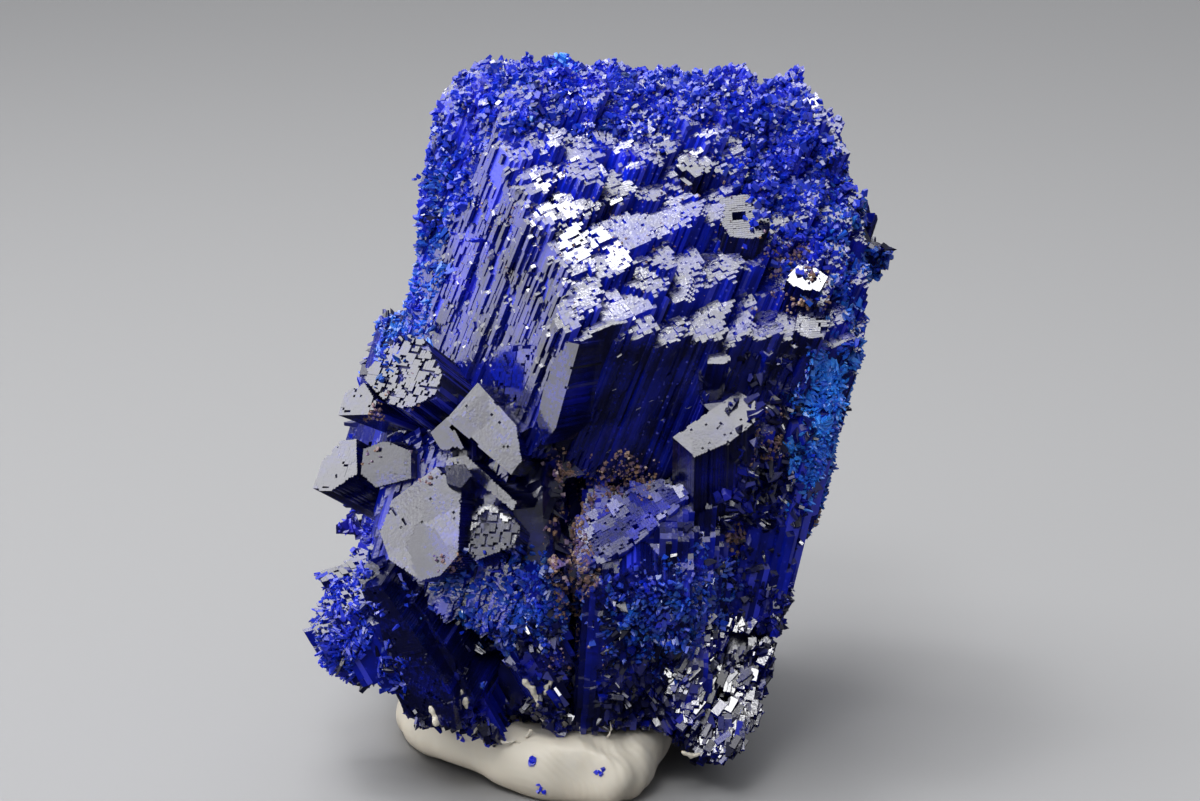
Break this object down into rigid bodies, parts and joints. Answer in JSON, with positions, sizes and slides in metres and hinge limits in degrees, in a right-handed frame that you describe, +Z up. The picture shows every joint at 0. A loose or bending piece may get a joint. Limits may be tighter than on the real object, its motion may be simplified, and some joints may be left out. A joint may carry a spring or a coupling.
{
  "type": "azurite specimen",
  "caption": "Deep blue azurite cluster of parallel column crystals with stepped tips, standing upright in a wad of white mineral tack.",
  "frame": {"origin": "middle of the object's box, on the surface that the wad of tack lies on", "axes": "+Z up, +X to the right and +Y away from someone who faces the terraced front"},
  "size_m": [0.0552, 0.0502, 0.0629],
  "materials": {
    "azurite": "vitreous",
    "tack": "matte"
  },
  "bodies": {
    "root": {"azurite_cluster": "azurite", "mineral_tack": "tack"}
  },
  "joints": []
}
